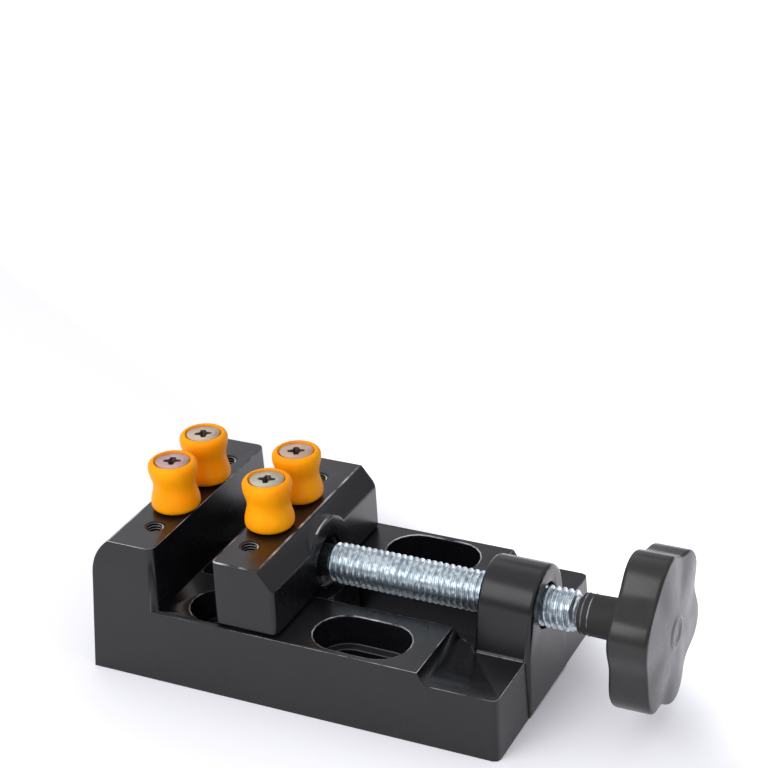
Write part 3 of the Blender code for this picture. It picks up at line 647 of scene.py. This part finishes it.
def cut_with(bm, cutter):
    """Cut a closed mesh with another one."""
    meshes = []
    for name, part in (("cut_target", bm), ("cut_tool", cutter)):
        mesh = bpy.data.meshes.new(name)
        part.to_mesh(mesh)
        part.free()
        meshes.append(mesh)
    target, tool = [bpy.data.objects.new(mesh.name, mesh) for mesh in meshes]
    for item in (target, tool):
        bpy.context.scene.collection.objects.link(item)
    modifier = target.modifiers.new("cut", "BOOLEAN")
    modifier.operation = "DIFFERENCE"
    modifier.solver = "EXACT"
    modifier.object = tool
    graph = bpy.context.evaluated_depsgraph_get()
    result = bmesh.new()
    result.from_mesh(target.evaluated_get(graph).to_mesh())
    for item in (target, tool):
        bpy.data.objects.remove(item, do_unlink=True)
    for mesh in meshes:
        bpy.data.meshes.remove(mesh)
    return result


# Castings, keeper and set screw

EDGE_LOWEST_SLOPE = 0.8
EDGE_HIGHEST_SLOPE = 0.985
EDGE_WIDTH = 0.5 * MM


def is_upper_edge(face):
    """A narrow facet of a rounded edge that looks up."""
    longest = max(edge.calc_length() for edge in face.edges)
    width = 2 * face.calc_area() / longest
    return EDGE_LOWEST_SLOPE < face.normal.z < EDGE_HIGHEST_SLOPE and width < EDGE_WIDTH


def dress_castings(material, edge_highlight_material):
    """The base and the sliding jaw, whose rounded upper edges carry a painted highlight."""
    for node, body in (("base", "base"), ("moving_jaw", "sliding_jaw")):
        bm = cad_copy(node)
        # Edge facets that look up take the second material, a painted highlight
        for face in bm.faces:
            face.material_index = int(is_upper_edge(face))
        piece = to_piece(f"{node}_casting", bm, material, body, [node])
        piece.data.materials.append(edge_highlight_material)
        weigh_normals(piece)


def dress_keeper(material):
    """The plate that holds the sliding jaw down and the set screw that holds its spindle."""
    for node in ("keeper_plate", "retaining_screw"):
        piece = to_piece(
            f"{node}_plated", cad_copy(node), material, "sliding_jaw", [node],
        )
        weigh_normals(piece)


# Threads

# Along one pitch and up from the root, each as a share of the whole
THREAD_SHAPE = (
    (0, 0), (0.1, 0), (0.33, 0.8), (0.42, 0.97), (0.5, 1),
    (0.58, 0.97), (0.67, 0.8), (0.9, 0), (1, 0),
)


def helical_tube(start, end, crest, root, pitch, steps_per_turn, axis, centre):
    """A threaded surface from one place along its axis to another, open at both ends.
    Its shape is one pitch of rolled thread: flat roots and rounded crests."""
    bm = bmesh.new()
    across = across_to(axis)
    turns = math.ceil((end - start) / pitch) + 2
    verts = []
    for share, height in THREAD_SHAPE:
        along = start - pitch + pitch * share
        radius = root + (crest - root) * height
        verts.append(bm.verts.new(centre + axis * along + across * radius))
    edges = [bm.edges.new(pair) for pair in zip(verts, verts[1:])]
    bmesh.ops.spin(
        bm, geom=verts + edges, cent=centre, axis=axis, angle=math.tau * turns,
        dvec=axis * (pitch / steps_per_turn), steps=turns * steps_per_turn,
        use_merge=False, use_duplicate=False,
    )
    merged(bm, THREAD_MERGE_DISTANCE)
    for place, side in ((start, -1), (end, 1)):
        bmesh.ops.bisect_plane(
            bm, geom=bm.verts[:] + bm.edges[:] + bm.faces[:], plane_co=centre + axis * place,
            plane_no=axis * side, clear_outer=True,
        )
    return bm


def rim_near(bm, axis, centre, along):
    """The rim that lies at one place along an axis."""
    return [
        edge for edge in rim_of(bm)
        if abs((edge.verts[0].co - centre).dot(axis) - along) < RIM_TOLERANCE
    ]


def lead_screw():
    """The spindle: rolled thread, chamfered at both ends, then the plain shank with its
    retaining groove at one end and the tail for the knob at the other."""
    bm = helical_tube(
        THREAD_START_X, THREAD_END_X, THREAD_RADIUS, THREAD_RADIUS - THREAD_DEPTH,
        THREAD_PITCH, THREAD_STEPS, ALONG, AXIS_POINT,
    )
    for vert in bm.verts:
        off = vert.co - AXIS_POINT
        from_start = SHANK_RADIUS + max(off.x - THREAD_START_X, 0) * THREAD_END_SLOPE
        from_end = TAIL_RADIUS + max(THREAD_END_X - off.x, 0) * THREAD_END_SLOPE
        radius = math.hypot(off.y, off.z)
        share = min(1, from_start / radius, from_end / radius)
        vert.co = AXIS_POINT + Vector((off.x, off.y * share, off.z * share))
    tip_x = SLIDING_BACK_X - SHANK_DEPTH_IN_JAW
    groove_x = SLIDING_BACK_X - GROOVE_DEPTH_IN_JAW
    shank = carry_rim(bm, rim_near(bm, ALONG, AXIS_POINT, THREAD_START_X), ALONG, AXIS_POINT, (
        (groove_x + GROOVE_WIDTH / 2, SHANK_RADIUS),
        (groove_x + GROOVE_WIDTH / 2, GROOVE_RADIUS),
        (groove_x - GROOVE_WIDTH / 2, GROOVE_RADIUS),
        (groove_x - GROOVE_WIDTH / 2, SHANK_RADIUS),
        (tip_x + SMALL_CHAMFER, SHANK_RADIUS),
        (tip_x, SHANK_RADIUS - SMALL_CHAMFER),
    ))
    bmesh.ops.edgeloop_fill(bm, edges=shank)
    tail = carry_rim(bm, rim_near(bm, ALONG, AXIS_POINT, THREAD_END_X), ALONG, AXIS_POINT, (
        (THREAD_END_X + TAIL_LENGTH, TAIL_RADIUS),
    ))
    bmesh.ops.edgeloop_fill(bm, edges=tail)
    return outward(bm)


def tapped_liner(x, y):
    """The thread in a tapped hole, as a thin sleeve that lines the hole. Its crests take a second
    material, bright metal that is also a painted highlight."""
    centre = Vector((x, y, 0))
    top = JAW_TOP - TAPPED_BELOW_MOUTH
    low = top - TAPPED_DEPTH
    bm = helical_tube(
        low, top, TAPPED_ROOT_RADIUS, TAPPED_CREST_RADIUS, FASTENER_PITCH, TAPPED_STEPS, UP,
        centre,
    )
    bottom = rim_near(bm, UP, centre, low)
    outer = carry_rim(bm, rim_near(bm, UP, centre, top), UP, centre, (
        (top, TAPPED_OUTER_RADIUS), (low, TAPPED_OUTER_RADIUS),
    ))
    bmesh.ops.bridge_loops(bm, edges=bottom + outer)
    for face in bm.faces:
        radius = (face.calc_center_median() - centre).xy.length
        face.material_index = int(radius < TAPPED_CREST_RADIUS + TAPPED_CREST_BAND)
    return outward(bm)


def add_tapped_liners(material, crest_highlight_material):
    """The free outer holes of both jaws."""
    for side, x, body in (
        ("fixed", FIXED_HOLES_X, "base"), ("moving", MOVING_HOLES_X, "sliding_jaw"),
    ):
        for place, y in (("near", -OUTER_HOLE_OFFSET), ("far", OUTER_HOLE_OFFSET)):
            piece = to_piece(
                f"{side}_tapped_hole_{place}", tapped_liner(x, y), material, body,
                smooth_below=50,
            )
            piece.data.materials.append(crest_highlight_material)


# Knob

KNOB_BACK_STEPS = 4
KNOB_EDGE_STEPS = 8
KNOB_VALLEY_FROM = 0.25
KNOB_LOBED_FROM = 0.15
KNOB_RINGS = 15
KNOB_RING_SPACING = 0.05
KNOB_MIDDLE_RINGS = {0.06, 0.01}
KNOB_MARK_HALF_WIDTH = 0.02


def hollow(angle):
    """0 on the crown of a lobe and 1 in the notch between two."""
    from_crown = KNOB_LOBES * (angle - KNOB_TURN)
    return ((1 - math.cos(from_crown)) / 2) ** KNOB_NOTCH_NARROWNESS


def neck_places():
    """The neck's side, a little thicker towards the knob, with two fine moulding lines."""
    places = [
        (NECK_START_X, NECK_RADIUS - SMALL_CHAMFER), (NECK_START_X + SMALL_CHAMFER, NECK_RADIUS),
    ]
    for along in NECK_LINE_PLACES:
        radius = NECK_RADIUS + NECK_DRAFT * along
        for offset, height in ((-1, 0), (0, 1), (1, 0)):
            x = NECK_START_X + along + offset * NECK_LINE_HEIGHT
            places.append((x, radius + height * NECK_LINE_HEIGHT))
    root = NECK_RADIUS + NECK_DRAFT * NECK_LENGTH
    for turned in corner_angles(KNOB_BACK_STEPS):
        places.append((
            KNOB_BACK_X - KNOB_BACK_ROUND * (1 - math.sin(turned)),
            root + KNOB_BACK_ROUND * (1 - math.cos(turned)),
        ))
    return places


def knob():
    """The knob and its neck as one skin, from the socket round the tail to the front. The
    front's rings are counted as shares of its size, 1 at the edge and 0 in the middle."""
    bm = bmesh.new()
    socket = TAIL_RADIUS + SEAT_GAP
    socket_end = THREAD_END_X + TAIL_LENGTH + SEAT_GAP
    made = bmesh.ops.create_circle(bm, cap_ends=True, segments=KNOB_STEPS, radius=socket)
    turn = UP.rotation_difference(ALONG).to_matrix().to_4x4()
    place = Matrix.Translation(AXIS_POINT + ALONG * socket_end)
    bmesh.ops.transform(bm, verts=made["verts"], matrix=place @ turn)
    places = [(NECK_START_X, socket)] + neck_places()
    rim = carry_rim(bm, rim_of(bm), ALONG, AXIS_POINT, places)

    def lobed(x, size):
        return lambda angle: (x, size * (1 - KNOB_NOTCH / KNOB_RADIUS * hollow(angle)))

    for turned in corner_angles(KNOB_BACK_STEPS):
        x = KNOB_BACK_X + KNOB_BACK_ROUND * (1 - math.cos(turned))
        size = KNOB_RADIUS - KNOB_BACK_ROUND * (1 - math.sin(turned))
        rim = next_ring(bm, rim, ALONG, AXIS_POINT, lobed(x, size))
    wall_end_x = KNOB_FRONT_X - KNOB_DOME - KNOB_EDGE_ROUND
    face_size = KNOB_RADIUS - KNOB_EDGE_ROUND

    def face_x(share, angle):
        rise = smooth_step((share - KNOB_VALLEY_FROM) / (1 - KNOB_VALLEY_FROM))
        valley = KNOB_VALLEY * hollow(angle) * rise
        return KNOB_FRONT_X - KNOB_DOME * share ** 2 - valley

    for turned in corner_angles(KNOB_EDGE_STEPS):
        size = face_size + KNOB_EDGE_ROUND * math.cos(turned)

        def edge_place(angle):
            start = wall_end_x - KNOB_VALLEY * hollow(angle)
            end = face_x(1, angle)
            x = start + (end - start) * math.sin(turned)
            return x, size * (1 - KNOB_NOTCH / KNOB_RADIUS * hollow(angle))

        rim = next_ring(bm, rim, ALONG, AXIS_POINT, edge_place)
    marks = [radius / face_size for radius in KNOB_MARK_RADII]
    shares = {1 - KNOB_RING_SPACING * step for step in range(1, KNOB_RINGS + 1)}
    shares |= KNOB_MIDDLE_RINGS
    for mark in marks:
        shares |= {mark + KNOB_MARK_HALF_WIDTH * part / 2 for part in (-2, -1, 0, 1, 2)}
    for share in sorted(shares, reverse=True):
        from_mark = min(abs(share - mark) for mark in marks)
        raised = KNOB_MARK_HEIGHT * max(0, 1 - (from_mark / KNOB_MARK_HALF_WIDTH) ** 2)

        def face_place(angle):
            roundness = smooth_step((share - KNOB_LOBED_FROM) / (1 - KNOB_LOBED_FROM))
            size = face_size * share * (1 - KNOB_NOTCH / KNOB_RADIUS * hollow(angle) * roundness)
            return face_x(share, angle) + raised, size

        rim = next_ring(bm, rim, ALONG, AXIS_POINT, face_place)
    bmesh.ops.edgeloop_fill(bm, edges=rim)
    # Faces on the neck's moulding lines take the second material, a painted highlight
    for face in bm.faces:
        along = face.calc_center_median().x - NECK_START_X
        from_line = min(abs(along - place) for place in NECK_LINE_PLACES)
        face.material_index = int(from_line < NECK_LINE_HEIGHT)
    return outward(bm)


# Pegs and screws

def peg_side():
    """Outer side of a peg, two rolls with a waist between them, from its top down."""
    mean = (PEG_RADIUS + PEG_WAIST_RADIUS) / 2
    swing = (PEG_RADIUS - PEG_WAIST_RADIUS) / 2
    wave = PEG_HEIGHT - 2 * PEG_ROLL_HEIGHT
    points = []
    for step in range(PEG_SIDE_STEPS + 1):
        height = PEG_HEIGHT * (1 + math.cos(math.pi * step / PEG_SIDE_STEPS)) / 2
        between_rolls = min(max(height - PEG_ROLL_HEIGHT, 0), wave)
        radius = mean + swing * math.cos(math.tau * between_rolls / wave)
        from_end = min(height, PEG_HEIGHT - height)
        if from_end < PEG_EDGE_ROUND:
            rest = PEG_EDGE_ROUND - from_end
            radius -= PEG_EDGE_ROUND - math.sqrt(PEG_EDGE_ROUND ** 2 - rest ** 2)
        points.append((PEG_BOTTOM + height, radius))
    return points


def peg(x, y, gate_angle):
    """A waisted peg with its countersunk hole and the small stump of its moulding gate."""
    seat = HEAD_RADIUS + SEAT_GAP
    bore = FASTENER_RADIUS + SEAT_GAP
    face = PEG_TOP - HEAD_SINK
    profile = peg_side()
    profile += [
        (PEG_BOTTOM, bore), (face - HEAD_HEIGHT, bore), (face - HEAD_RIM, seat), profile[0],
    ]
    centre = Vector((x, y, 0))
    bm = spun(profile, PEG_STEPS, UP, centre)
    gate = centre + Vector((math.cos(gate_angle), math.sin(gate_angle), 0)) * PEG_RADIUS
    gate.z = PEG_BOTTOM + GATE_PLACE
    for vert in bm.verts:
        off = vert.co - centre
        outwards = Vector((off.x, off.y, 0))
        if outwards.length > PEG_SIDE_INSIDE:
            height = GATE_HEIGHT * math.exp(-((vert.co - gate).length / GATE_WIDTH) ** 2)
            vert.co += outwards.normalized() * height
    return bm


RECESS_WING = 0.45 * MM
RECESS_INNER = 0.8 * MM
RECESS_REACH = 1.95 * MM
RECESS_LEAD_IN = 0.12 * MM
# How deep each section of the recess lies, and its size
RECESS_LEVELS = ((-0.25 * MM, 1.16), (RECESS_LEAD_IN, 1.0), (1.7 * MM, 0.4))
# Just past the recess, to tell its faces from the rest
RECESS_DEEPEST = RECESS_LEVELS[-1][0] * 1.05
RECESS_WIDEST = RECESS_REACH * 1.1


def cross_cutter(centre, turn, direction):
    """The cross recess of a screw head: four tapering wings with a small lead-in."""
    quarter = (
        (RECESS_REACH, -RECESS_WING), (RECESS_REACH, RECESS_WING), (RECESS_INNER, RECESS_INNER),
    )
    bm = bmesh.new()
    verts = []
    for step in range(4):
        spot = Matrix.Rotation(turn + step * math.pi / 2, 2)
        for corner in quarter:
            across = spot @ Vector(corner)
            verts.append(bm.verts.new((across.x, across.y, 0)))
    face = bm.faces.new(verts)
    depth_before, scale_before = 0, 1
    for depth, scale in RECESS_LEVELS:
        if depth_before:
            face = bmesh.ops.extrude_discrete_faces(bm, faces=[face])["faces"][0]
        bmesh.ops.translate(bm, verts=face.verts, vec=(0, 0, depth_before - depth))
        ratio = scale / scale_before
        bmesh.ops.scale(bm, verts=face.verts, vec=(ratio, ratio, 1))
        depth_before, scale_before = depth, scale
    bmesh.ops.edgeloop_fill(bm, edges=rim_of(bm))
    bmesh.ops.scale(bm, verts=bm.verts, vec=(1, 1, direction))
    bmesh.ops.translate(bm, verts=bm.verts, vec=centre)
    return outward(bm)


def countersunk_screw(x, y, face, direction, length, turn):
    """A countersunk screw whose head points along +Z or -Z. The faces of its cross recess take a
    second material, a painted shade."""
    tip = -length
    profile = [
        (0, 0), (0, HEAD_RADIUS - HEAD_EDGE), (-HEAD_EDGE / 3, HEAD_RADIUS - HEAD_EDGE / 3),
        (-HEAD_EDGE, HEAD_RADIUS), (-HEAD_RIM, HEAD_RADIUS), (-HEAD_HEIGHT, FASTENER_RADIUS),
        (tip + FASTENER_RADIUS / 2, FASTENER_RADIUS), (tip, FASTENER_RADIUS * 3 / 4), (tip, 0),
    ]
    centre = Vector((x, y, face))
    profile = [(along * direction, radius) for along, radius in profile]
    screw = spun(profile, FASTENER_STEPS, UP, centre)
    screw = cut_with(screw, cross_cutter(centre, turn, direction))
    for item in screw.faces:
        off = item.calc_center_median() - centre
        below = -off.z * direction
        inside = off.xy.length < RECESS_WIDEST
        item.material_index = int(inside and RECESS_LEAD_IN < below < RECESS_DEEPEST)
    return screw


def add_screw(name, screw, material, recess_shade_material, body, node):
    piece = to_piece(name, screw, material, body, [node])
    piece.data.materials.append(recess_shade_material)


# Jaw, side, the hole's place, the body, and in degrees the screw's turn and the gate's
PEG_PLACES = (
    ("fixed", "near", FIXED_HOLES_X, -INNER_HOLE_OFFSET, "base", 22, 100),
    ("fixed", "far", FIXED_HOLES_X, INNER_HOLE_OFFSET, "base", 30, -27),
    ("moving", "near", MOVING_HOLES_X, -INNER_HOLE_OFFSET, "sliding_jaw", 16, -47),
    ("moving", "far", MOVING_HOLES_X, INNER_HOLE_OFFSET, "sliding_jaw", 27, 160),
)
# One for each peg's screw, with its dark and its light colour
HEAD_TINTS = (
    ("mauve", "#B39092", "#C9A8A6"), ("tan", "#BBAA97", "#D0BFAC"),
    ("green", "#B0AE9C", "#C9C5B0"), ("champagne", "#C2A594", "#D6BBAA"),
)


def add_pegs(orange, recess):
    """The four pegs and the screws that hold them."""
    face = PEG_TOP - HEAD_SINK
    for (side, place, x, y, body, turn, gate), tints in zip(PEG_PLACES, HEAD_TINTS):
        node = f"{side}_peg_{place}"
        bm = peg(x, y, math.radians(gate))
        to_piece(f"{node}_moulded", bm, orange, body, [node], smooth_below=40)
        node = f"{side}_peg_screw_{place}"
        screw = countersunk_screw(x, y, face, 1, PEG_SCREW_LENGTH, math.radians(turn))
        plated = passivated_zinc(*tints)
        add_screw(f"{node}_cross_head", screw, plated, recess, body, node)


def add_keeper_screws(material, recess):
    """The two screws under the keeper plate, whose heads point down."""
    for place, x in KEEPER_SCREW_PLACES.items():
        node = f"keeper_screw_{place}"
        screw = countersunk_screw(
            x, 0, KEEPER_SCREW_FACE, -1, KEEPER_SCREW_LENGTH, KEEPER_SCREW_TURN,
        )
        add_screw(f"{node}_cross_head", screw, material, recess, "sliding_jaw", node)


def main():
    bpy.context.scene.view_settings.view_transform = "Standard"
    add_camera()
    add_world()
    add_floor()
    add_softbox("key_softbox", KEY_DIRECTION, KEY_DISTANCE, KEY_SIZE, KEY_POWER)
    add_softbox(
        "fill_softbox", FILL_DIRECTION, FILL_DISTANCE, FILL_SIZE, FILL_POWER,
        in_reflections=False,
    )
    zinc = bright_zinc_plate()
    recess = painted_recess_shade()
    casting = black_anodised_casting()
    dress_castings(casting, painted_edge_highlight())
    dress_keeper(zinc)
    to_piece(
        "lead_screw_threaded", lead_screw(), zinc, "spindle", ["lead_screw"],
        smooth_below=50,
    )
    nylon = charcoal_moulded_nylon()
    piece = to_piece(
        "knob_moulded", knob(), nylon, "spindle", ["knob"], smooth_below=40,
    )
    piece.data.materials.append(painted_neck_line_highlight())
    add_pegs(orange_moulded_polyurethane(), recess)
    add_keeper_screws(zinc, recess)
    add_tapped_liners(casting, bare_crest_and_painted_highlight())


main()
